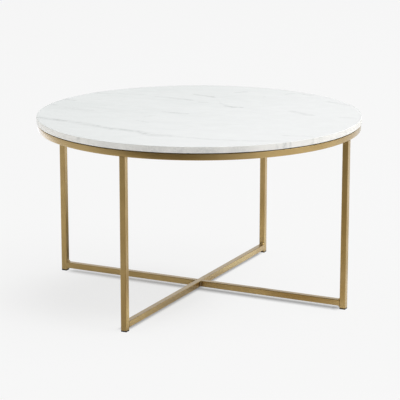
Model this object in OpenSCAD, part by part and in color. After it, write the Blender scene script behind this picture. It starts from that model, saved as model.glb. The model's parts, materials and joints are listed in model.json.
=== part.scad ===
// Round side table: a marble slab on a ring of square tube, with four legs and two crossed stretchers.
// Millimetres, +Z up. The origin is on the floor at the centre of the table.
// The long stretcher and the front and back legs lie on the Y axis, the other two legs on the X axis.

/* [Top] */
// Diameter of the marble slab
top_d = 800; // [500:10:1000]
// Thickness of the marble slab
top_t = 15; // [12:1:30]
// Rounding of the slab's upper edge
top_upper_r = 1.5; // [0.5:0.1:4]
// Rounding of the slab's lower edge
top_lower_r = 1; // [0.5:0.1:4]
// Height of the table, from the floor to the top of the slab
table_h = 450; // [300:5:700]

/* [Frame tube] */
// Outside width of the square tube
tube_w = 15; // [14.5:0.5:25]
// Wall thickness of the tube
tube_wall = 1.2; // [0.8:0.1:1.5]
// Outer corner radius of the tube
tube_r = 1.6; // [1:0.1:2.4]
// How far the ring's outer face lies inside the edge of the slab
ring_inset = 2; // [0:0.5:60]
// Height of the stretchers above the lower ends of the leg tubes
stretcher_lift = 4.5; // [3:0.5:80]

/* [Welds] */
// Leg length of the fillet welds between stretchers and legs
leg_weld = 5; // [1:0.1:6]
// Leg length of the fillet welds at the crossing
cross_weld = 2.5; // [1:0.1:4]

/* [Support pads] */
// Number of pads between ring and slab
pad_count = 8; // [4:4:16]
// Diameter of a pad
pad_d = 9; // [5:0.5:11]
// Thickness of a pad
pad_t = 2; // [0.8:0.1:4]

/* [Ring joint] */
// Thread diameter of the bolts
bolt_d = 6; // [4:0.5:6]
// Length of a bolt under its head
bolt_l = 20; // [12:1:24]
// Height of a bolt's head
bolt_head_h = 6; // [3:0.25:7]
// Width across the corners of the bolt's hexagon socket
bolt_key_d = 5.7; // [3:0.1:6.5]
// Depth of the hexagon socket
bolt_key_t = 3; // [1.5:0.25:4]
// Thickness of a washer
washer_t = 1.6; // [0.8:0.1:2]
// How far a washer stands out round the bolt's head
washer_rim = 0.5; // [0:0.1:1]
// Length of the threaded plug in a leg
plug_l = 24; // [16:1:40]

/* [Foot caps] */
// Thickness of a cap's foot under the leg
foot_t = 3.5; // [2:0.5:8]
// Chamfer round the bottom of the foot
foot_chamfer = 0.8; // [0.2:0.1:1.2]
// Length of the stem inside the leg
stem_l = 14; // [10:1:30]
// Wall thickness of the hollow stem
stem_wall = 1.8; // [1:0.1:2.4]
// Number of ribs round the stem
rib_count = 3; // [1:1:4]
// Height of a rib
rib_t = 1.2; // [0.6:0.1:1.8]
// How far a rib stands out from the stem
rib_out = 0.9; // [0.3:0.1:1.2]

/* [Clearances] */
// Gap on each side between a plug or rib and the tube round it
insert_gap = 0.1; // [0.05:0.05:0.3]
// Radial gap between a thread and its hole
thread_gap = 0.05; // [0.02:0.01:0.1]
// Radial gap between a bolt and the plain holes that it passes
bolt_gap = 0.25; // [0.1:0.05:0.5]
// Gap on each side between a washer and the tube round it
washer_gap = 0.8; // [0.6:0.1:1.5]
// Radial gap round a washer as it is dropped into the ring
access_gap = 0.3; // [0.1:0.05:0.5]

/* [Hidden] */

GOLD = [0.66, 0.56, 0.39];
STEEL = [0.72, 0.72, 0.70];
MARBLE = [0.94, 0.94, 0.93];
BLACK = [0.06, 0.06, 0.06];
SMOKE = [0.30, 0.29, 0.27];

// Turn about Z of each leg, from the right-hand one
RIGHT = 0;
BACK = 90;
LEFT = 180;
FRONT = 270;
SIDES = [RIGHT, BACK, LEFT, FRONT];

// Heights, from the slab down and from the floor up
slab_z = table_h - top_t;
ring_top = slab_z - pad_t;
ring_z = ring_top - tube_w;
leg_l = ring_z - foot_t;
stretcher_z = foot_t + stretcher_lift;
stretcher_top = stretcher_z + tube_w;

// Distances from the table's centre
ring_outer = top_d / 2 - ring_inset;
leg_x = ring_outer - tube_w / 2;
leg_inner_x = ring_outer - tube_w;

// Sizes inside the tube
bore_w = tube_w - 2 * tube_wall;
bore_r = tube_r - tube_wall / 2;
insert_w = bore_w - 2 * insert_gap;
flat_w = tube_w - 2 * tube_r;

// The bolt stands on its washer, on the lower wall of the ring's tube
washer_z = ring_z + tube_wall;
head_z = washer_z + washer_t;
bolt_end_z = head_z - bolt_l;
washer_d = bore_w - 2 * washer_gap;
bolt_head_d = washer_d - 2 * washer_rim;
access_r = washer_d / 2 + access_gap;

// Facet counts of large, middling and small rounds, and how far a cut runs past its wall
large_fn = 256;
smooth_fn = 64;
small_fn = 24;
over = 1;

// A square with round corners, centred, as exact arcs
module round_square(w, r) {
  square([w - 2 * r, w], center = true);
  square([w, w - 2 * r], center = true);
  for (x = [-1, 1], y = [-1, 1])
    translate([x, y] * (w / 2 - r)) circle(r, $fn = small_fn);
}

module tube_section() {
  difference() {
    round_square(tube_w, tube_r);
    round_square(bore_w, bore_r);
  }
}

// A straight length of tube along +Z
module tube_length(l) {
  linear_extrude(l) tube_section();
}

// The place of the leg on one side, on the floor
module at_leg(side) {
  rotate(side) translate([leg_x, 0, 0]) children();
}

module leg(side) {
  at_leg(side) translate([0, 0, foot_t]) color(GOLD) tube_length(leg_l);
}

// A stretcher that lies along +X from one distance to another
module stretcher(from, to) {
  color(GOLD) translate([from, 0, stretcher_z + tube_w / 2])
    rotate([0, 90, 0]) tube_length(to - from);
}

// The flat bead of a fillet weld along +Z, in the corner of the +X and +Y faces
module weld_bead(size, l) {
  color(GOLD) linear_extrude(l) polygon([[0, 0], [size, 0], [0, size]]);
}

// A bead between the inner face of the leg and a level face below it, at height 0
module leg_bead(size) {
  translate([leg_inner_x, flat_w / 2, 0]) rotate([90, 0, 0]) mirror([1, 0, 0])
    weld_bead(size, flat_w);
}

module marble_top() {
  color(MARBLE) translate([0, 0, slab_z]) rotate_extrude($fn = large_fn) {
    translate([0, top_lower_r]) square([top_d / 2, top_t - top_upper_r - top_lower_r]);
    square([top_d / 2 - top_lower_r, top_t / 2]);
    translate([0, top_t / 2]) square([top_d / 2 - top_upper_r, top_t / 2]);
    translate([top_d / 2 - top_upper_r, top_t - top_upper_r]) circle(top_upper_r, $fn = small_fn);
    translate([top_d / 2 - top_lower_r, top_lower_r]) circle(top_lower_r, $fn = small_fn);
  }
}

// Each joint has a wide hole in the ring's upper wall and a bolt hole in its lower wall
module top_ring() {
  color(GOLD) difference() {
    translate([0, 0, ring_z + tube_w / 2])
      rotate_extrude($fn = large_fn) translate([leg_x, 0]) tube_section();
    for (side = SIDES) at_leg(side) {
      translate([0, 0, ring_top - tube_wall - over])
        cylinder(h = tube_wall + 2 * over, r = access_r, $fn = smooth_fn);
      translate([0, 0, ring_z - over])
        cylinder(h = tube_wall + 2 * over, r = bolt_d / 2 + bolt_gap, $fn = smooth_fn);
    }
  }
}

// The pads lie midway between the bolts
module top_pads() {
  pad_step = 360 / pad_count;
  color(SMOKE) for (i = [0 : pad_count - 1])
    rotate((i + 0.5) * pad_step) translate([leg_x, 0, ring_top])
      cylinder(h = pad_t, d = pad_d, $fn = smooth_fn);
}

module leg_front() { leg(FRONT); }
module leg_back() { leg(BACK); }
module leg_left() { leg(LEFT); }
module leg_right() { leg(RIGHT); }

module stretcher_long() { rotate(BACK) stretcher(-leg_inner_x, leg_inner_x); }
module stretcher_left() { rotate(LEFT) stretcher(tube_w / 2, leg_inner_x); }
module stretcher_right() { rotate(RIGHT) stretcher(tube_w / 2, leg_inner_x); }

// The bead under a stretcher reaches no lower than the end of the leg's tube
module leg_welds() {
  for (side = SIDES) rotate(side) {
    translate([0, 0, stretcher_top]) leg_bead(leg_weld);
    translate([0, 0, stretcher_z]) mirror([0, 0, 1]) leg_bead(min(leg_weld, stretcher_lift));
  }
}

module cross_welds() {
  for (side = SIDES) rotate(side)
    translate([tube_w / 2, tube_w / 2, stretcher_z + tube_r])
      weld_bead(cross_weld, flat_w);
}

module leg_plugs() {
  color(STEEL) for (side = SIDES) at_leg(side)
    translate([0, 0, ring_z - plug_l]) difference() {
      linear_extrude(plug_l) round_square(insert_w, bore_r);
      translate([0, 0, -over])
        cylinder(h = plug_l + 2 * over, r = bolt_d / 2 + thread_gap, $fn = smooth_fn);
    }
}

module ring_bolts() {
  color(STEEL) for (side = SIDES) at_leg(side) {
    translate([0, 0, bolt_end_z]) cylinder(h = bolt_l, d = bolt_d, $fn = smooth_fn);
    translate([0, 0, head_z]) difference() {
      cylinder(h = bolt_head_h, d = bolt_head_d, $fn = smooth_fn);
      translate([0, 0, bolt_head_h - bolt_key_t])
        cylinder(h = bolt_key_t + over, d = bolt_key_d, $fn = 6);
    }
  }
}

module ring_washers() {
  color(STEEL) for (side = SIDES) at_leg(side)
    translate([0, 0, washer_z]) difference() {
      cylinder(h = washer_t, d = washer_d, $fn = smooth_fn);
      translate([0, 0, -over])
        cylinder(h = washer_t + 2 * over, r = bolt_d / 2 + bolt_gap, $fn = smooth_fn);
    }
}

// A foot as wide as the tube, with a flat chamfer round its bottom
module foot_plate() {
  difference() {
    linear_extrude(foot_t) round_square(tube_w, tube_r);
    for (side = SIDES) rotate(side)
      translate([tube_w / 2 - foot_chamfer, 0, 0]) rotate([0, -45, 0])
        translate([-tube_w, -tube_w, -tube_w]) cube([2 * tube_w, 2 * tube_w, tube_w]);
  }
}

// The stem is hollow, and its ribs stand out to grip the bore of the leg
module foot_stem() {
  stem_w = insert_w - 2 * rib_out;
  rib_pitch = stem_l / (rib_count + 1);
  difference() {
    union() {
      linear_extrude(stem_l) round_square(stem_w, bore_r / 2);
      for (i = [1 : rib_count])
        translate([0, 0, i * rib_pitch - rib_t / 2]) linear_extrude(rib_t)
          round_square(insert_w, bore_r);
    }
    linear_extrude(stem_l + over) square(stem_w - 2 * stem_wall, center = true);
  }
}

module foot(side) {
  color(BLACK) at_leg(side) {
    foot_plate();
    translate([0, 0, foot_t]) foot_stem();
  }
}

module foot_front() { foot(FRONT); }
module foot_back() { foot(BACK); }
module foot_left() { foot(LEFT); }
module foot_right() { foot(RIGHT); }

marble_top();
top_ring();
top_pads();
leg_front();
leg_back();
leg_left();
leg_right();
stretcher_long();
stretcher_left();
stretcher_right();
leg_welds();
cross_welds();
leg_plugs();
ring_bolts();
ring_washers();
foot_front();
foot_back();
foot_left();
foot_right();
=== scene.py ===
"""The looks of a round side table with a marble top: finishes, small forms, floor, light and camera.

Metres, +Z up, in the frame of the construction model. Bearings are counted from +X towards +Y.
"""

import json
import math

import bpy
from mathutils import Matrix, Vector


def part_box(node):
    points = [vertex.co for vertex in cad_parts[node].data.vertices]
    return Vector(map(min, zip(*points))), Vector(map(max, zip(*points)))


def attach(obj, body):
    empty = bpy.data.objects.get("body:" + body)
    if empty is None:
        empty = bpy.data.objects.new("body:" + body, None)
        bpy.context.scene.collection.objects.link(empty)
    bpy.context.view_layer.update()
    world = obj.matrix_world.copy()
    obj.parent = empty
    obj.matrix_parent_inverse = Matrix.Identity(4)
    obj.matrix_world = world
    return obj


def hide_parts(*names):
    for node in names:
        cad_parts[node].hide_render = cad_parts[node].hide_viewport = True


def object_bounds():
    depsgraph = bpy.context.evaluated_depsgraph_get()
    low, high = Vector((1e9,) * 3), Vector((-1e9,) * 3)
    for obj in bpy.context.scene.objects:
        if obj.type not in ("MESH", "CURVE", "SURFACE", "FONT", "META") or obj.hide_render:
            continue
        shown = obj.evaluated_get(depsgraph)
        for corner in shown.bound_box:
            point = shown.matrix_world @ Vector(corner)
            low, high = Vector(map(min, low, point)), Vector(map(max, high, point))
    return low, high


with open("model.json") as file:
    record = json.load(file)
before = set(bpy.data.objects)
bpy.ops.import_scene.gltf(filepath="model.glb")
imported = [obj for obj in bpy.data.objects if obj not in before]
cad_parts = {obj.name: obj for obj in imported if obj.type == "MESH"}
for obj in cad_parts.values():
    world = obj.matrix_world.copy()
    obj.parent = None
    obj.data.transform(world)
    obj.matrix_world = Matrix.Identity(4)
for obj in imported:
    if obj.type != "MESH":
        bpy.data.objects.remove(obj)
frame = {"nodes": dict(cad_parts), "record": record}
cad_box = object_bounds()

# The camera, at the photograph's viewing angle. Azimuth 0 looks along +Y.
CAMERA_AZIMUTH = math.radians(26.25)
CAMERA_ELEVATION = math.radians(13.68)
CAMERA_DISTANCE = 4.414
CAMERA_AIM = Vector((0.0017, 0.0009, 0.230))
CAMERA_LENS = 159.2
CAMERA_SENSOR = 36.0

# Two round panels: a large soft one high on the right, and a faint one low in the right front for the rim.
# Each has its bearing, elevation, distance and width, and its share of the light on a level surface.
KEY_PANEL = (math.radians(22), math.radians(53), 10.0, 9.0, 0.48)
RIGHT_PANEL = (math.radians(-10), math.radians(24), 9.0, 5.0, 0.014)
PANEL_COLOUR = (1.0, 0.99, 0.975)

# The even light all round, near the horizon and overhead, and the share of it that the front loses.
HORIZON_LIGHT = (0.80, 0.79, 0.765, 1.0)
OVERHEAD_LIGHT = (0.42, 0.43, 0.435, 1.0)
FRONT_LOSS = 0.28
# A glow low on the left that only lights matt surfaces: where it comes from, and its light.
GLOW_FROM = Vector((-1.0, -0.12, 0.22)).normalized()
GLOW_LIGHT = (2.3, 2.26, 2.18, 1.0)

# The pale studio: its tone for the camera, and for mirrored rays also its tone far off and overhead, the
# distances over which the floor goes from one to the other, and the warm shade in front, round a bearing.
# A step has where it starts, where it ends, and the values before and after it if they aren't 0 and 1.
PALE = (0.93, 0.93, 0.93, 1.0)
PALE_FAR = (0.76, 0.76, 0.755, 1.0)
PALE_OVERHEAD = (0.60, 0.60, 0.595, 1.0)
NEAR_FLOOR = 0.9
FAR_FLOOR = 2.3
SHADE = (0.12, 0.102, 0.066, 1.0)
SHADE_BEARING = math.radians(-86)
SHADE_STEP = (0.2, 0.95)
OVERHEAD_STEP = (0.05, 0.5)
GLOW_STEP = (0.75, 0.97)
FLOOR_REACH = 30.0

# Places of the floor that polished pieces mirror darker or paler than the rest: the middle of each, how
# its two axes are scaled, the reach of its full tone, where it ends, and its tone.
MIRRORED_PATCHES = (
    # Far in front, and for the front of the right leg.
    ((0.4, -4.2, 0.0), (0.7, 0.5, 0.0), 0.9, 2.3, SHADE),
    ((0.28, -0.80, 0.0), (1.0, 1.0, 0.0), 0.25, 0.65, (0.36, 0.30, 0.20, 1.0)),
    # For the right side of the long stretcher, its far half and its near half.
    ((0.11, 0.27, 0.0), (1.8, 1.0, 0.0), 0.08, 0.22, (1.32, 1.42, 1.30, 1.0)),
    ((0.11, -0.30, 0.0), (1.8, 1.0, 0.0), 0.08, 0.22, (1.25, 1.24, 1.04, 1.0)),
    # For the front of the back leg, low down.
    ((-0.13, 0.12, 0.0), (1.0, 1.0, 0.0), 0.06, 0.18, (1.25, 1.20, 1.07, 1.0)),
    # For the front of the right stretcher, near its leg.
    ((0.26, -0.12, 0.0), (1.0, 1.3, 0.0), 0.06, 0.17, (0.50, 0.42, 0.30, 1.0)),
    # For the right side of the left leg.
    ((-0.30, 0.17, 0.0), (1.0, 1.0, 0.0), 0.05, 0.13, (0.12, 0.10, 0.07, 1.0)),
    ((-0.21, 0.47, 0.0), (1.0, 1.0, 0.0), 0.13, 0.27, (0.12, 0.10, 0.07, 1.0)),
    ((-0.10, 0.88, 0.0), (1.0, 1.0, 0.0), 0.15, 0.32, (0.12, 0.10, 0.07, 1.0)),
    # For the right side of the front leg.
    ((0.38, 0.44, 0.0), (1.0, 1.0, 0.0), 0.11, 0.24, (0.36, 0.31, 0.22, 1.0)),
    ((0.56, 0.80, 0.0), (1.0, 1.0, 0.0), 0.11, 0.24, (0.36, 0.31, 0.22, 1.0)),
    # For the fronts of the front leg and the back leg.
    ((-0.52, -1.45, 0.0), (1.0, 1.0, 0.0), 0.15, 0.42, (0.70, 0.66, 0.57, 1.0)),
    ((-0.35, -0.33, 0.0), (1.0, 1.0, 0.0), 0.10, 0.30, (1.22, 1.17, 1.04, 1.0)),
    # For the left end of the ring and of the slab's rim.
    ((-1.9, 0.75, 0.0), (1.0, 1.0, 0.0), 0.60, 1.15, (1.44, 1.54, 1.76, 1.0)),
)

# How much of the table's full shadow shows on the floor. To the camera it is most round one place, between
# the left leg and the front leg, and least beyond SHADOW_END from there. Polished pieces mirror the same
# share everywhere.
SHADOW_MIDDLE = (-0.16, -0.15, 0.0)
SHADOW_FULL = 0.10
SHADOW_END = 0.36
SHADOW_MOST = 0.25
SHADOW_LEAST = 0.07
MIRRORED_SHADOW_SHARE = 0.86

# Close shadow under the bars near the floor, cast by the low light: where that comes from, its reach, its
# samples and its depth. The depth is full up to one distance from the middle of the floor and gone at the
# other, by the feet. Towards the left leg only a share of it is left.
CONTACT_FROM = Vector((0.97, -0.05, 0.20)).normalized()
CONTACT_REACH = 0.021
CONTACT_SAMPLES = 16
CONTACT_DEPTH = 3.2
CONTACT_FULL = 0.355
CONTACT_END = 0.392
CONTACT_LEFT_SHARE = 0.62

# Forms that the construction model leaves plain, or that the box of a node doesn't tell.
ROUND_STEPS = 256
SMALL_ROUND_STEPS = 40
ARC_STEPS = 5
FLAT_RINGS = (0.25, 0.5, 0.75, 0.95)
SLAB_TOP_ROUND = 0.0015
SLAB_LOW_ROUND = 0.001
TUBE_ROUND = 0.0016
TUBE_WALL = 0.0012
BORE_ROUND = 0.001
ACCESS_HOLE_RADIUS = 0.0058
BOLT_HOLE_RADIUS = 0.00325
DRILL_SPARE = 0.001
SHARP_ANGLE = math.radians(35)
PAD_COUNT = 8
PAD_RADIUS = 0.0045
PAD_BULGE = 0.0004
PAD_SIDE_STEPS = 10

# The weld beads: their steps, the pitch of their ripples, the share of their length that each taper takes,
# their girth at the ends, how far the ripples are bowed, as a share of a ripple, and how much the beads
# swell and ripple, as shares of their girth.
BEAD_STEPS = 60
BEAD_FACE_STEPS = 8
BEAD_RIPPLE_PITCH = 0.0017
BEAD_TAPER = 0.12
BEAD_END_GIRTH = 0.62
BEAD_BOW = 0.35
BEAD_SWELL = 0.10
BEAD_RIPPLE = 0.07

# The share of a vein's half width that has its full strength.
VEIN_CORE = 0.2
# Each grey vein of the marble: its half width, its strength and the points that it runs through.
VEINS = (
    (0.0210, 0.50, ((-0.345, -0.215), (-0.29, -0.224), (-0.22, -0.234), (-0.165, -0.248))),
    (0.0210, 0.50, ((-0.165, -0.248), (-0.12, -0.262), (-0.03, -0.267), (0.02, -0.285), (0.06, -0.281))),
    (0.0150, 0.30, ((0.06, -0.281), (0.14, -0.274), (0.19, -0.265), (0.25, -0.249), (0.31, -0.219))),
    (0.0100, 0.95, ((-0.34, -0.215), (-0.29, -0.222), (-0.245, -0.231))),
    (0.0110, 0.75, ((-0.222, -0.230), (-0.195, -0.240))),
    (0.0100, 1.00, ((-0.16, -0.247), (-0.12, -0.264), (-0.095, -0.266))),
    (0.0110, 1.00, ((-0.08, -0.264), (-0.03, -0.268), (-0.005, -0.279))),
    (0.0090, 0.70, ((0.015, -0.283), (0.065, -0.281))),
    (0.0080, 0.45, ((0.10, -0.280), (0.16, -0.272))),
    (0.0110, 0.50, ((-0.088, -0.020), (-0.065, -0.019), (-0.025, -0.018))),
    (0.0080, 0.80, ((-0.068, -0.019), (-0.048, -0.018))),
    (0.0090, 0.35, ((-0.10, -0.095), (-0.09, -0.076))),
    (0.0100, 0.35, ((-0.093, -0.145), (-0.065, -0.155))),
    (0.0100, 0.40, ((-0.20, 0.155), (-0.17, 0.160), (-0.13, 0.151))),
    (0.0090, 0.80, ((-0.135, 0.152), (-0.115, 0.152), (-0.095, 0.148))),
    (0.0080, 0.50, ((-0.065, 0.137), (-0.05, 0.141))),
    (0.0090, 0.80, ((-0.125, 0.232), (-0.08, 0.219), (-0.06, 0.213))),
    (0.0080, 0.12, ((-0.06, 0.213), (-0.015, 0.153))),
    (0.0090, 0.35, ((-0.010, 0.143), (0.015, 0.128))),
    (0.0090, 1.00, ((0.015, 0.115), (0.04, 0.110), (0.062, 0.118))),
    (0.0100, 0.60, ((-0.04, 0.305), (-0.025, 0.325))),
    (0.0050, 0.90, ((0.048, 0.276), (0.052, 0.278))),
    (0.0090, 0.45, ((0.085, 0.340), (0.11, 0.362), (0.155, 0.352))),
    (0.0160, 0.45, ((0.195, 0.125), (0.225, 0.113), (0.257, 0.097))),
    (0.0110, 0.50, ((0.225, 0.285), (0.26, 0.269), (0.29, 0.264))),
    (0.0080, 0.35, ((0.335, 0.103), (0.365, 0.112))),
    (0.0090, 0.30, ((0.30, -0.155), (0.36, -0.133))),
    (0.0120, 0.70, ((-0.40, 0.018), (-0.365, 0.016))),
    (0.0120, 0.55, ((-0.398, -0.062), (-0.375, -0.061))),
    (0.0180, 0.30, ((-0.33, -0.080), (-0.26, -0.082))),
    (0.0130, 0.55, ((-0.375, 0.136), (-0.335, 0.143))),
    (0.0100, 0.30, ((-0.33, 0.145), (-0.24, 0.168))),
    (0.0080, 0.30, ((-0.33, 0.055), (-0.25, 0.062))),
)
# Darker spots in the slab's rim, by bearing in degrees, each with its half width and its strength.
RIM_SPOTS = (
    (-108, 0.013, 0.6),
    (-96, 0.045, 0.25),
    (-79, 0.060, 0.60),
    (-70, 0.045, 0.55),
    (-62, 0.070, 0.66),
    (-51, 0.055, 0.45),
    (-37.5, 0.0065, 0.5),
    (-34.6, 0.0095, 0.85),
    (-32.6, 0.0060, 0.75),
    (-23, 0.0080, 0.6),
    (-19.5, 0.0065, 0.5),
    (74, 0.012, 0.5),
    (140, 0.014, 0.6),
    (205, 0.012, 0.5),
)

# The marble's patterns. A warp has the scale of its noise, its reach in metres and its detail. A noise has
# its scale, its detail and its roughness. A stretch has its factor on each axis.
STREAK_TURN = math.radians(-14)
VEIN_BEND_WARP = (9.0, 0.016, 2.0)
VEIN_WAVER_WARP = (60.0, 0.014, 3.0)
VEIN_PATCH_STRETCH = (1.0, 1.6, 1.0)
VEIN_PATCH_NOISE = (55.0, 5.0, 0.7)
VEIN_PATCH_STEP = (0.36, 0.60, 0.30, 1.15)
VEIN_DEPTH = 0.48
STREAK_WARP = (5.0, 0.06, 2.0)
STREAK_STRETCH = (1.3, 10.0, 6.0)
STREAK_NOISE = (3.6, 5.0, 0.6)
STREAK_LINE_STEP = (0.0, 0.05, 1.0, 0.0)
STREAK_PLACE_NOISE = (7.0, 2.0)
STREAK_PLACE_STEP = (0.35, 0.65, 0.15, 1.0)
STREAK_DEPTH_STEP = (-0.2, 0.35, 0.08, 0.03)
RIM_WARP = (110.0, 0.013, 4.0)
RIM_PATCH_NOISE = (38.0, 4.0, 0.6)
RIM_PATCH_STEP = (0.46, 0.70, 0.0, 0.30)
RIM_SPECK_NOISE = (190.0, 3.0, 0.6)
RIM_SPECK_STEP = (0.35, 0.6, 0.35, 1.0)
RIM_DEPTH = 0.6
HAZE_STRETCH = (1.0, 2.4, 2.0)
HAZE_NOISE = (3.0, 4.0, 0.55)
HAZE_STEP = (0.3, 0.75, 0.12, 0.22)
HAZE_ACROSS_STEP = (-0.35, 0.30, 1.1, 0.1)
POLISH_NOISE = (25.0, 3.0)
POLISH_STEP = (0.3, 0.7, 0.12, 0.19)

# The parts of the slab's surface, as steps of how far it faces up: the rim, all that isn't polished, and
# the sawn underside.
RIM_STEP = (0.25, 0.85, 1.0, 0.0)
DULL_STEP = (0.80, 0.99, 1.0, 0.0)
UNDER_STEP = (-0.9, -0.7, 1.0, 0.0)
MARBLE_WHITE = (0.908, 0.925, 0.935, 1.0)
MARBLE_HAZE = (0.38, 0.485, 0.455, 1.0)
MARBLE_GREY = (0.40, 0.425, 0.425, 1.0)
# The rim's tone: the same stone, warmer and darker than the top as painted shade on the upright face.
MARBLE_RIM_SHADED = (0.862, 0.852, 0.826, 1.0)
# The sawn underside's grey, made much darker as painted shade under the slab.
MARBLE_SAWN_AND_SHADE = (0.24, 0.23, 0.21, 1.0)
# How much rougher than the polished face all the rest is, and the underside beyond that.
REST_DULL = 0.38
UNDER_DULL = 0.12
CLEAR_IOR = 1.5

GOLD = (0.55, 0.382, 0.147, 1.0)
GOLD_DEEP = (0.50, 0.340, 0.122, 1.0)
# Painted shade for the sides of the tubes in the corners of the crossing.
GOLD_CORNER_SHADE = (0.15, 0.080, 0.022, 1.0)
GOLD_PATCH_NOISE = (14.0, 3.0)
GOLD_PATCH_STEP = (0.3, 0.7)
GOLD_GLOSS_NOISE = (60.0, 4.0)
GOLD_GLOSS_STEP = (0.3, 0.7, 0.30, 0.37)
GOLD_COAT_ROUGHNESS = 0.22
GOLD_GRAIN_NOISE = (180.0, 2.0)
GOLD_GRAIN_STRENGTH = 0.12
GOLD_GRAIN_HEIGHT = 0.0004
# Painted shade in the corners of the crossing, from its middle outwards, and what keeps it to the sides of
# the
# # tubes, as a step of how far the surface faces up.
CROSSING_SHADE_STEP = (0.0125, 0.0200, 0.72, 0.0)
SHADE_SIDE_STEP = (0.1, 0.5, 1.0, 0.0)

# The matt and plated finishes: each has its colour, its worn colour and the limits of its roughness.
MATT_NOISE = (300.0, 3.0)
MATT_COLOUR_STEP = (0.35, 0.7)
MATT_GLOSS_STEP = (0.3, 0.7)
BLACK = (0.012, 0.012, 0.013, 1.0)
BLACK_WORN = (0.024, 0.024, 0.025, 1.0)
BLACK_ROUGHNESS = (0.48, 0.62)
BLACK_SHINE = 0.2
SMOKE = (0.045, 0.042, 0.038, 1.0)
SMOKE_DEEP = (0.030, 0.028, 0.026, 1.0)
SMOKE_ROUGHNESS = (0.6, 0.75)
ZINC = (0.66, 0.67, 0.67, 1.0)
ZINC_DULL = (0.50, 0.51, 0.52, 1.0)
ZINC_ROUGHNESS = (0.25, 0.42)
PLAIN_SHINE = 0.5

# A noise's middle value, the roughness of the noise in a warp, and what drops the height from a place.
NOISE_MIDDLE = 0.5
WARP_ROUGHNESS = 0.6
LEVEL = (1.0, 1.0, 0.0)


def add(tree, kind, inputs=None, **settings):
    """A new node. Each input gets a value or a link, and each setting its value."""
    node = tree.nodes.new(kind)
    for name, value in settings.items():
        setattr(node, name, value)
    for key, value in (inputs or {}).items():
        if isinstance(value, bpy.types.NodeSocket):
            tree.links.new(value, node.inputs[key])
        else:
            node.inputs[key].default_value = value
    return node


def maths(tree, operation, *values):
    return add(tree, "ShaderNodeMath", dict(enumerate(values)), operation=operation).outputs[0]


def vector_maths(tree, operation, *values, output="Vector"):
    node = add(tree, "ShaderNodeVectorMath", dict(enumerate(values)), operation=operation)
    return node.outputs[output]


def level_place(radius, turn):
    """The point at a distance from the Z axis and at a bearing, at floor height."""
    return Vector((radius * math.cos(turn), radius * math.sin(turn), 0.0))


def distance(tree, place, middle):
    return vector_maths(tree, "DISTANCE", place, tuple(middle), output="Value")


def facing_share(tree, towards, direction):
    """1 where towards has the given direction, and less the further it turns away."""
    return vector_maths(tree, "DOT_PRODUCT", towards, tuple(direction), output="Value")


def soft_step(tree, value, start, end, low=0.0, high=1.0):
    """low before start, high after end, and a smooth change between them."""
    inputs = {"Value": value, "From Min": start, "From Max": end, "To Min": low, "To Max": high}
    return add(tree, "ShaderNodeMapRange", inputs, interpolation_type="SMOOTHSTEP").outputs["Result"]


def noise(tree, place, scale, detail=3.0, roughness=0.5, output="Fac"):
    inputs = {"Vector": place, "Scale": scale, "Detail": detail, "Roughness": roughness}
    return add(tree, "ShaderNodeTexNoise", inputs).outputs[output]


def blend(tree, share, first, second):
    """The first colour where share is 0, and the second where it is 1."""
    node = add(tree, "ShaderNodeMix", data_type="RGBA", clamp_factor=True)
    colours = [s for s in node.inputs if s.type == "RGBA"]
    for socket, value in ((node.inputs[0], share), (colours[0], first), (colours[1], second)):
        if isinstance(value, bpy.types.NodeSocket):
            tree.links.new(value, socket)
        else:
            socket.default_value = value
    return next(s for s in node.outputs if s.type == "RGBA")


def mixed(tree, share, first, second):
    """The first shader where share is 0, and the second where it is 1."""
    return add(tree, "ShaderNodeMixShader", {0: share, 1: first, 2: second}).outputs[0]


def new_material(name):
    """A material with an empty Principled surface, and its node tree."""
    material = bpy.data.materials.new(name)
    material.use_nodes = True
    tree = material.node_tree
    tree.nodes.clear()
    surface = add(tree, "ShaderNodeBsdfPrincipled")
    add(tree, "ShaderNodeOutputMaterial", {"Surface": surface.outputs[0]})
    return material, tree, surface


def object_place(tree):
    """Coordinates in metres in the table's own frame."""
    return add(tree, "ShaderNodeTexCoord").outputs["Object"]


def stretched(tree, place, scale, turn=0.0):
    """Coordinates turned about Z and scaled on each axis."""
    inputs = {"Vector": place, "Rotation": (0.0, 0.0, turn), "Scale": scale}
    return add(tree, "ShaderNodeMapping", inputs).outputs["Vector"]


def warped(tree, place, scale, amount, detail):
    """Coordinates pushed about by a noise, so that straight lines through them waver."""
    push = noise(tree, place, scale, detail, WARP_ROUGHNESS, "Color")
    centred = vector_maths(tree, "SUBTRACT", push, (NOISE_MIDDLE, NOISE_MIDDLE, NOISE_MIDDLE))
    scaled = vector_maths(tree, "MULTIPLY", centred, (amount, amount, amount))
    return vector_maths(tree, "ADD", place, scaled)


def stroke(tree, place, start, end, half_width, strength):
    """A soft line from start to end: strength on it, and nothing half_width away."""
    run = Vector((end[0] - start[0], end[1] - start[1], 0.0))
    from_start = vector_maths(tree, "SUBTRACT", place, (start[0], start[1], 0.0))
    along = vector_maths(tree, "DOT_PRODUCT", from_start, tuple(run / run.length_squared), output="Value")
    share = add(tree, "ShaderNodeClamp", {"Value": along}).outputs[0]
    nearest = vector_maths(tree, "SCALE", tuple(run))
    tree.links.new(share, nearest.node.inputs["Scale"])
    away = vector_maths(tree, "DISTANCE", from_start, nearest, output="Value")
    return soft_step(tree, away, VEIN_CORE * half_width, half_width, strength, 0.0)


def strongest(tree, values):
    total = values[0]
    for value in values[1:]:
        total = maths(tree, "MAXIMUM", total, value)
    return total


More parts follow.
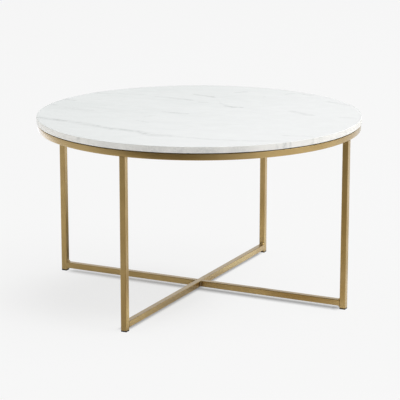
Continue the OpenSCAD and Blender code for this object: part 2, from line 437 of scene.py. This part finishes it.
def marble_veins(tree, place):
    """The veins drawn through the listed points, wavering a little and broken up along their length."""
    flat = vector_maths(tree, "MULTIPLY", place, LEVEL)
    wavy = warped(tree, warped(tree, flat, *VEIN_BEND_WARP), *VEIN_WAVER_WARP)
    strokes = []
    for half_width, strength, points in VEINS:
        for start, end in zip(points, points[1:]):
            strokes.append(stroke(tree, wavy, start, end, half_width, strength))
    drawn = strongest(tree, strokes)
    patches = noise(tree, stretched(tree, place, VEIN_PATCH_STRETCH, STREAK_TURN), *VEIN_PATCH_NOISE)
    return maths(tree, "MULTIPLY", drawn, soft_step(tree, patches, *VEIN_PATCH_STEP))


def marble_streaks(tree, place):
    """Faint thin streaks that all run one way, stronger towards the left."""
    bent = warped(tree, place, *STREAK_WARP)
    drawn_out = stretched(tree, bent, STREAK_STRETCH, -STREAK_TURN)
    spread = noise(tree, drawn_out, *STREAK_NOISE)
    ridge = maths(tree, "ABSOLUTE", maths(tree, "SUBTRACT", spread, NOISE_MIDDLE))
    line = soft_step(tree, ridge, *STREAK_LINE_STEP)
    where = soft_step(tree, noise(tree, place, *STREAK_PLACE_NOISE), *STREAK_PLACE_STEP)
    return maths(tree, "MULTIPLY", line, where)


def marble_rim(tree, place):
    """Grey mottles in the rim where the saw has cut across the veins, and broad grey spots along its front,
    broken into specks.
    """
    level = vector_maths(tree, "MULTIPLY", warped(tree, place, *RIM_WARP), LEVEL)
    spots = []
    for bearing, half_width, strength in RIM_SPOTS:
        centre = level_place(cad_box[1].x, math.radians(bearing))
        spots.append(soft_step(tree, distance(tree, level, centre), 0.0, half_width, strength, 0.0))
    patches = soft_step(tree, noise(tree, place, *RIM_PATCH_NOISE), *RIM_PATCH_STEP)
    specks = soft_step(tree, noise(tree, place, *RIM_SPECK_NOISE), *RIM_SPECK_STEP)
    return maths(tree, "MULTIPLY", strongest(tree, spots + [patches]), specks)


def up_and_down(tree):
    """How far a surface faces up: 1 on a floor, 0 on a wall and -1 on a ceiling."""
    normal = add(tree, "ShaderNodeNewGeometry").outputs["Normal"]
    return add(tree, "ShaderNodeSeparateXYZ", {"Vector": normal}).outputs["Z"]


def marble():
    """Polished white marble with soft grey veins, faint streaks, and a mottled rim and sawn underside
    darkened by painted shade.
    """
    material, tree, surface = new_material("marble")
    place = object_place(tree)
    across = add(tree, "ShaderNodeSeparateXYZ", {"Vector": place}).outputs["X"]
    facing = up_and_down(tree)
    is_rim = soft_step(tree, facing, *RIM_STEP)
    is_dull = soft_step(tree, facing, *DULL_STEP)
    is_under = soft_step(tree, facing, *UNDER_STEP)

    haze_place = stretched(tree, place, HAZE_STRETCH, -STREAK_TURN)
    cloud = soft_step(tree, noise(tree, haze_place, *HAZE_NOISE), *HAZE_STEP)
    haze = maths(tree, "MULTIPLY", cloud, soft_step(tree, across, *HAZE_ACROSS_STEP))
    streak_depth = soft_step(tree, across, *STREAK_DEPTH_STEP)
    streaks = maths(tree, "MULTIPLY", marble_streaks(tree, place), streak_depth)
    veins = maths(tree, "MULTIPLY", marble_veins(tree, place), VEIN_DEPTH)
    rim = maths(tree, "MULTIPLY", maths(tree, "MULTIPLY", marble_rim(tree, place), is_rim), RIM_DEPTH)
    grey = maths(tree, "ADD", streaks, maths(tree, "ADD", veins, rim))
    clean = blend(tree, is_rim, blend(tree, haze, MARBLE_WHITE, MARBLE_HAZE), MARBLE_RIM_SHADED)
    stone = blend(tree, grey, clean, MARBLE_GREY)
    tree.links.new(blend(tree, is_under, stone, MARBLE_SAWN_AND_SHADE), surface.inputs["Base Color"])

    polish = soft_step(tree, noise(tree, place, *POLISH_NOISE), *POLISH_STEP)
    rest_dull = maths(tree, "MULTIPLY", is_dull, REST_DULL)
    dull = maths(tree, "ADD", maths(tree, "MULTIPLY", is_under, UNDER_DULL), rest_dull)
    tree.links.new(maths(tree, "ADD", polish, dull), surface.inputs["Roughness"])
    surface.inputs["IOR"].default_value = CLEAR_IOR
    return material


def satin_gold():
    """Lacquered champagne gold, faintly uneven in colour, gloss and surface, with painted shade at the
    crossing.
    """
    material, tree, surface = new_material("gold_metal")
    place = object_place(tree)
    patches = soft_step(tree, noise(tree, place, *GOLD_PATCH_NOISE), *GOLD_PATCH_STEP)
    even = blend(tree, patches, GOLD, GOLD_DEEP)
    level = vector_maths(tree, "MULTIPLY", place, LEVEL)
    from_crossing = vector_maths(tree, "LENGTH", level, output="Value")
    # Painted shade: the sides of the tubes darken in the corners of the crossing.
    crossing_shade = soft_step(tree, from_crossing, *CROSSING_SHADE_STEP)
    on_side = soft_step(tree, up_and_down(tree), *SHADE_SIDE_STEP)
    corner_shaded = blend(tree, maths(tree, "MULTIPLY", crossing_shade, on_side), even, GOLD_CORNER_SHADE)
    tree.links.new(corner_shaded, surface.inputs["Base Color"])
    gloss = soft_step(tree, noise(tree, place, *GOLD_GLOSS_NOISE), *GOLD_GLOSS_STEP)
    tree.links.new(gloss, surface.inputs["Roughness"])
    surface.inputs["Metallic"].default_value = 1.0
    surface.inputs["Coat Weight"].default_value = 1.0
    surface.inputs["Coat Roughness"].default_value = GOLD_COAT_ROUGHNESS
    surface.inputs["Coat IOR"].default_value = CLEAR_IOR
    grain = {
        "Strength": GOLD_GRAIN_STRENGTH,
        "Distance": GOLD_GRAIN_HEIGHT,
        "Height": noise(tree, place, *GOLD_GRAIN_NOISE),
    }
    tree.links.new(add(tree, "ShaderNodeBump", grain).outputs[0], surface.inputs["Normal"])
    return material


def matt(name, colour, worn, roughness, metallic=0.0, shine=PLAIN_SHINE):
    """A plain moulded or plated finish with small patches in its colour and gloss."""
    material, tree, surface = new_material(name)
    patches = noise(tree, object_place(tree), *MATT_NOISE)
    share = soft_step(tree, patches, *MATT_COLOUR_STEP)
    tree.links.new(blend(tree, share, colour, worn), surface.inputs["Base Color"])
    tree.links.new(soft_step(tree, patches, *MATT_GLOSS_STEP, *roughness), surface.inputs["Roughness"])
    surface.inputs["Metallic"].default_value = metallic
    surface.inputs["Specular IOR Level"].default_value = shine
    return material


def black_plastic():
    return matt("black_plastic", BLACK, BLACK_WORN, BLACK_ROUGHNESS, shine=BLACK_SHINE)


def pad_rubber():
    return matt("pad_rubber", SMOKE, SMOKE_DEEP, SMOKE_ROUGHNESS)


def zinc_steel():
    return matt("zinc_steel", ZINC, ZINC_DULL, ZINC_ROUGHNESS, metallic=1.0)


def arc(centre, radius, start, end, steps=ARC_STEPS):
    """Points on an arc from one angle to another, in degrees."""
    turns = [math.radians(start + (end - start) * i / steps) for i in range(steps + 1)]
    return [(centre[0] + radius * math.cos(t), centre[1] + radius * math.sin(t)) for t in turns]


def lathe(profile, closed=False, steps=ROUND_STEPS):
    """A shell turned about Z from points (radius, height). An open profile starts and ends on the axis."""
    points, faces, rings = [], [], []
    for radius, height in profile:
        start = len(points)
        count = steps if radius > 0 else 1
        rings.append([start + i % count for i in range(steps)])
        for i in range(count):
            turn = 2 * math.pi * i / steps
            points.append(Vector((radius * math.cos(turn), radius * math.sin(turn), height)))
    pairs = list(zip(rings, rings[1:] + rings[:1])) if closed else list(zip(rings, rings[1:]))
    for low, high in pairs:
        for i in range(steps):
            j = (i + 1) % steps
            corners = (low[i], low[j], high[j], high[i])
            faces.append(tuple(dict.fromkeys(corners)))
    return points, faces


def moved(shell, offset):
    points, faces = shell
    return [p + offset for p in points], faces


def make_mesh(name, shells, material=None):
    """An object of one mesh that holds all the shells."""
    points, faces = [], []
    for shell_points, shell_faces in shells:
        start = len(points)
        points += shell_points
        faces += [tuple(start + i for i in face) for face in shell_faces]
    mesh = bpy.data.meshes.new(name)
    mesh.from_pydata(points, [], faces)
    if material:
        mesh.materials.append(material)
    piece = bpy.data.objects.new(name, mesh)
    bpy.context.scene.collection.objects.link(piece)
    return piece


def stand_for(piece, node):
    """Smooths a piece, fixes it to the table and shows it in place of a CAD node."""
    piece.data.shade_smooth()
    piece.data.set_sharp_from_angle(angle=SHARP_ANGLE)
    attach(piece, "root")
    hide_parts(node)


def marble_slab(material):
    """The slab: flat faces, a turned rim and eased edges, with rings that keep the flats flat."""
    low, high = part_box("marble_top")
    radius = high.x
    profile = [(0.0, low.z)]
    profile += [(radius * share, low.z) for share in FLAT_RINGS]
    profile += [(radius - 2 * SLAB_LOW_ROUND, low.z)]
    profile += arc((radius - SLAB_LOW_ROUND, low.z + SLAB_LOW_ROUND), SLAB_LOW_ROUND, -90, 0)
    profile += [(radius, low.z + 2 * SLAB_LOW_ROUND), (radius, high.z - 2 * SLAB_TOP_ROUND)]
    profile += arc((radius - SLAB_TOP_ROUND, high.z - SLAB_TOP_ROUND), SLAB_TOP_ROUND, 0, 90)
    profile += [(radius - 2 * SLAB_TOP_ROUND, high.z)]
    profile += [(radius * share, high.z) for share in reversed(FLAT_RINGS)]
    profile += [(0.0, high.z)]
    stand_for(make_mesh("marble_slab", [lathe(profile)], material), "marble_top")


def tube_profile(outer, low, high, size, corner):
    """The rounded square of a rolled tube, from its outer lower corner up the outside and round."""
    inner = outer - size
    corners = (
        (outer, low, -1, 1, -90),
        (outer, high, -1, -1, 0),
        (inner, high, 1, -1, 90),
        (inner, low, 1, 1, 180),
    )
    profile = []
    for radius, height, in_r, in_z, start in corners:
        profile += arc((radius + in_r * corner, height + in_z * corner), corner, start, start + 90)
    return profile


def drill(radius, bottom, top):
    """A solid round bar on the Z axis."""
    return lathe([(0.0, bottom), (radius, bottom), (radius, top), (0.0, top)], steps=SMALL_ROUND_STEPS)


def ring_tube(material):
    """The rolled ring: its outer skin, its bore, and the holes for the bolts that hold the legs."""
    low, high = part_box("top_ring")
    outer, size = high.x, high.z - low.z
    middle = outer - size / 2
    skin = lathe(tube_profile(outer, low.z, high.z, size, TUBE_ROUND), closed=True)
    bore_outer, bore_size = outer - TUBE_WALL, size - 2 * TUBE_WALL
    bore_profile = tube_profile(bore_outer, low.z + TUBE_WALL, high.z - TUBE_WALL, bore_size, BORE_ROUND)
    bore = lathe(bore_profile[::-1], closed=True)
    ring = make_mesh("ring_tube", [skin, bore], material)

    centre_z = (low.z + high.z) / 2
    drills = []
    for quarter in range(4):
        place = level_place(middle, quarter * math.pi / 2)
        access = drill(ACCESS_HOLE_RADIUS, centre_z + DRILL_SPARE, high.z + TUBE_WALL)
        drills.append(moved(access, place))
        drills.append(moved(drill(BOLT_HOLE_RADIUS, low.z - TUBE_WALL, centre_z), place))
    cutter = make_mesh("ring_drills", drills)
    cut = ring.modifiers.new("holes", "BOOLEAN")
    cut.operation = "DIFFERENCE"
    cut.solver = "EXACT"
    cut.object = cutter
    evaluated = ring.evaluated_get(bpy.context.evaluated_depsgraph_get())
    drilled = bpy.data.meshes.new_from_object(evaluated)
    ring.modifiers.clear()
    ring.data = drilled
    bpy.data.objects.remove(cutter)
    stand_for(ring, "top_ring")


def rest_pads(material):
    """The soft pads under the slab, pressed so that their sides bulge a little."""
    low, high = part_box("top_pads")
    ring_low, ring_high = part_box("top_ring")
    middle = ring_high.x - (ring_high.z - ring_low.z) / 2
    side = []
    for i in range(PAD_SIDE_STEPS + 1):
        share = i / PAD_SIDE_STEPS
        radius = PAD_RADIUS - PAD_BULGE * (1 - math.sin(math.pi * share))
        side.append((radius, low.z + (high.z - low.z) * share))
    pad = lathe([(0.0, low.z)] + side + [(0.0, high.z)], steps=SMALL_ROUND_STEPS)
    pads = []
    for i in range(PAD_COUNT):
        pads.append(moved(pad, level_place(middle, 2 * math.pi * (i + 0.5) / PAD_COUNT)))
    stand_for(make_mesh("rest_pads", pads, material), "top_pads")


def weld_bead(corner, run, side_a, side_b, size):
    """A bead laid in a corner along run, as wide as size on each side, with overlapping ripples."""
    points, faces = [], []
    ripples = run.length / BEAD_RIPPLE_PITCH
    for i in range(BEAD_STEPS + 1):
        share = i / BEAD_STEPS
        from_end = min(min(share, 1 - share) / BEAD_TAPER, 1.0)
        rounded = math.sqrt(from_end * (2 - from_end))
        girth = size * (BEAD_END_GIRTH + (1 - BEAD_END_GIRTH) * rounded)
        points.append(corner + run * share)
        for k in range(BEAD_FACE_STEPS + 1):
            across = k / BEAD_FACE_STEPS
            bow = math.sin(math.pi * across)
            crest = abs(math.sin(math.pi * (share * ripples - BEAD_BOW * bow))) * bow
            reach = girth * (1 + BEAD_SWELL * bow + BEAD_RIPPLE * crest)
            place = side_a * (reach * (1 - across)) + side_b * (reach * across)
            points.append(corner + run * share + place)
    ring = BEAD_FACE_STEPS + 2
    for i in range(BEAD_STEPS):
        for k in range(ring):
            a, b = i * ring + k, i * ring + (k + 1) % ring
            faces.append((a, b, b + ring, a + ring))
    faces.append(tuple(range(ring))[::-1])
    faces.append(tuple(BEAD_STEPS * ring + k for k in range(ring)))
    if run.dot(side_a.cross(side_b)) > 0:
        return points, faces
    return points, [face[::-1] for face in faces]


def weld_beads(material):
    """The beads above and below each stretcher at its leg, and those in the corners of the crossing."""
    up = Vector((0.0, 0.0, 1.0))
    bar_low, bar_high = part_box("stretcher_long")
    leg_low, leg_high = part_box("leg_welds")
    width = (bar_high.x - bar_low.x) - 2 * TUBE_ROUND
    upper = leg_high.z - bar_high.z
    lower = bar_low.z - leg_low.z
    beads = []
    for quarter in range(4):
        outward = level_place(1.0, quarter * math.pi / 2)
        across = up.cross(outward)
        start = outward * bar_high.y - across * width / 2
        run = across * width
        beads.append(weld_bead(start + up * bar_high.z, run, up, -outward, upper))
        beads.append(weld_bead(start + up * bar_low.z, run, -up, -outward, lower))
    stand_for(make_mesh("leg_weld_beads", beads, material), "leg_welds")

    cross_low, cross_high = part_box("cross_welds")
    size = cross_high.x - bar_high.x
    run = up * (cross_high.z - cross_low.z)
    beads = []
    for side_x in (-1, 1):
        for side_y in (-1, 1):
            corner = Vector((side_x * bar_high.x, side_y * bar_high.x, cross_low.z))
            beads.append(weld_bead(corner, run, Vector((side_x, 0, 0)), Vector((0, side_y, 0)), size))
    stand_for(make_mesh("cross_weld_beads", beads, material), "cross_welds")


def dress():
    """Gives each CAD node the material of its slot, and makes the pieces that stand for some of them."""
    made = {
        "marble": marble(),
        "gold_metal": satin_gold(),
        "black_plastic": black_plastic(),
        "pad_rubber": pad_rubber(),
        "zinc_steel": zinc_steel(),
    }
    for row in frame["record"]["subparts"]:
        node = frame["nodes"][row["node"]]
        node.data.materials.clear()
        node.data.materials.append(made[row["material_slot"]])
    marble_slab(made["marble"])
    ring_tube(made["gold_metal"])
    rest_pads(made["pad_rubber"])
    weld_beads(made["gold_metal"])


def mirrored(tree, path):
    """1 for a ray that comes from a polished or a clear surface."""
    return maths(tree, "MAXIMUM", path.outputs["Is Glossy Ray"], path.outputs["Is Transmission Ray"])


def background(tree, colour):
    return add(tree, "ShaderNodeBackground", {"Color": colour}).outputs[0]


def studio_world():
    """Pale all round for the camera, with a shaded front for mirrored rays, and soft light for the rest."""
    world = bpy.data.worlds.new("studio")
    world.use_nodes = True
    tree = world.node_tree
    tree.nodes.clear()
    path = add(tree, "ShaderNodeLightPath")
    towards = add(tree, "ShaderNodeTexCoord").outputs["Generated"]
    upwards = add(tree, "ShaderNodeSeparateXYZ", {"Vector": towards}).outputs["Z"]
    overhead = soft_step(tree, upwards, *OVERHEAD_STEP)
    from_shade = facing_share(tree, towards, level_place(1.0, SHADE_BEARING))
    shaded = soft_step(tree, from_shade, *SHADE_STEP)
    on_left = soft_step(tree, facing_share(tree, towards, GLOW_FROM), *GLOW_STEP)

    above = blend(tree, overhead, PALE_FAR, PALE_OVERHEAD)
    reflected = background(tree, blend(tree, shaded, above, SHADE))
    even = blend(tree, overhead, HORIZON_LIGHT, OVERHEAD_LIGHT)
    less_front = blend(tree, maths(tree, "MULTIPLY", shaded, FRONT_LOSS), even, SHADE)
    soft = background(tree, blend(tree, on_left, less_front, GLOW_LIGHT))
    lit = mixed(tree, mirrored(tree, path), soft, reflected)
    whole = mixed(tree, path.outputs["Is Camera Ray"], lit, background(tree, PALE))
    add(tree, "ShaderNodeOutputWorld", {"Surface": whole})
    bpy.context.scene.world = world


def mirrored_tone(tree, place, from_table):
    """The floor's tone for mirrored rays: pale near the table, less so far off, and with the patches."""
    tone = blend(tree, soft_step(tree, from_table, NEAR_FLOOR, FAR_FLOOR), PALE, PALE_FAR)
    for middle, shape, full, end, patch_tone in MIRRORED_PATCHES:
        from_middle = vector_maths(tree, "SUBTRACT", place, middle)
        shaped = vector_maths(tree, "MULTIPLY", from_middle, shape)
        away = vector_maths(tree, "LENGTH", shaped, output="Value")
        tone = blend(tree, soft_step(tree, away, full, end, 1.0, 0.0), tone, patch_tone)
    return tone


def contact_shade(tree, place, from_table):
    """What the bars near the floor leave of its light: 1 in the open, and less close under them."""
    low_light = add(tree, "ShaderNodeCombineXYZ", dict(zip("XYZ", CONTACT_FROM))).outputs[0]
    inputs = {"Distance": CONTACT_REACH, "Normal": low_light}
    open_share = add(tree, "ShaderNodeAmbientOcclusion", inputs, samples=CONTACT_SAMPLES).outputs["AO"]
    across = add(tree, "ShaderNodeSeparateXYZ", {"Vector": place}).outputs["X"]
    left_share = soft_step(tree, across, cad_box[0].x, 0.0, CONTACT_LEFT_SHARE, 1.0)
    depth = soft_step(tree, from_table, CONTACT_FULL, CONTACT_END, CONTACT_DEPTH, 0.0)
    return maths(tree, "POWER", open_share, maths(tree, "MULTIPLY", depth, left_share))


def floor_material():
    """As pale as the background for the camera, with the table's shadow thinned.

    Mirrored rays also see the patches of another tone, and the rest see a plainly lit floor.
    """
    material = bpy.data.materials.new("studio_floor")
    material.use_nodes = True
    tree = material.node_tree
    tree.nodes.clear()
    path = add(tree, "ShaderNodeLightPath")
    place = object_place(tree)
    from_table = vector_maths(tree, "LENGTH", place, output="Value")
    is_mirrored = mirrored(tree, path)
    colour = blend(tree, is_mirrored, PALE, mirrored_tone(tree, place, from_table))
    contact = contact_shade(tree, place, from_table)
    pale = add(tree, "ShaderNodeEmission", {"Color": colour, "Strength": contact}).outputs[0]
    lit = add(tree, "ShaderNodeBsdfDiffuse", {"Color": colour}).outputs[0]
    from_shadow = distance(tree, place, SHADOW_MIDDLE)
    seen_share = soft_step(tree, from_shadow, SHADOW_FULL, SHADOW_END, SHADOW_MOST, SHADOW_LEAST)
    share = soft_step(tree, is_mirrored, 0.0, 1.0, seen_share, MIRRORED_SHADOW_SHARE)
    shown = maths(tree, "MAXIMUM", path.outputs["Is Camera Ray"], is_mirrored)
    whole = mixed(tree, shown, lit, mixed(tree, share, pale, lit))
    add(tree, "ShaderNodeOutputMaterial", {"Surface": whole})
    return material


def make_floor():
    signs = ((-1, -1), (1, -1), (1, 1), (-1, 1))
    corners = [Vector((x * FLOOR_REACH, y * FLOOR_REACH, 0.0)) for x, y in signs]
    make_mesh("studio_floor", [(corners, [(0, 1, 2, 3)])], floor_material())


def make_panel(name, centre, bearing, elevation, distance, width, share):
    """A round panel that faces centre and gives a level surface there its share of the light."""
    outward = Vector((
        math.cos(bearing) * math.cos(elevation),
        math.sin(bearing) * math.cos(elevation),
        math.sin(elevation),
    ))
    data = bpy.data.lights.new(name, "AREA")
    data.shape = "DISK"
    data.size = width
    data.color = PANEL_COLOUR
    half_angle = math.atan(width / 2 / distance)
    seen_area = math.pi * math.sin(half_angle) ** 2 * math.sin(elevation)
    radiance = share * math.pi / seen_area
    data.energy = radiance * math.pi * math.pi * (width / 2) ** 2
    panel = bpy.data.objects.new(name, data)
    panel.location = centre + outward * distance
    panel.rotation_mode = "QUATERNION"
    panel.rotation_quaternion = outward.to_track_quat("Z", "Y")
    panel.visible_camera = False
    bpy.context.scene.collection.objects.link(panel)


def make_camera():
    back = Vector((
        math.sin(CAMERA_AZIMUTH) * math.cos(CAMERA_ELEVATION),
        -math.cos(CAMERA_AZIMUTH) * math.cos(CAMERA_ELEVATION),
        math.sin(CAMERA_ELEVATION),
    ))
    data = bpy.data.cameras.new("camera")
    data.lens = CAMERA_LENS
    data.sensor_width = CAMERA_SENSOR
    camera = bpy.data.objects.new("camera", data)
    camera.location = CAMERA_AIM + back * CAMERA_DISTANCE
    camera.rotation_mode = "QUATERNION"
    camera.rotation_quaternion = (-back).to_track_quat("-Z", "Y")
    bpy.context.scene.collection.objects.link(camera)
    bpy.context.scene.camera = camera


make_camera()
dress()
studio_world()
make_floor()
table_middle = (cad_box[0] + cad_box[1]) / 2
make_panel("key_panel", table_middle, *KEY_PANEL)
make_panel("right_panel", table_middle, *RIGHT_PANEL)
bpy.context.scene.view_settings.view_transform = "Standard"
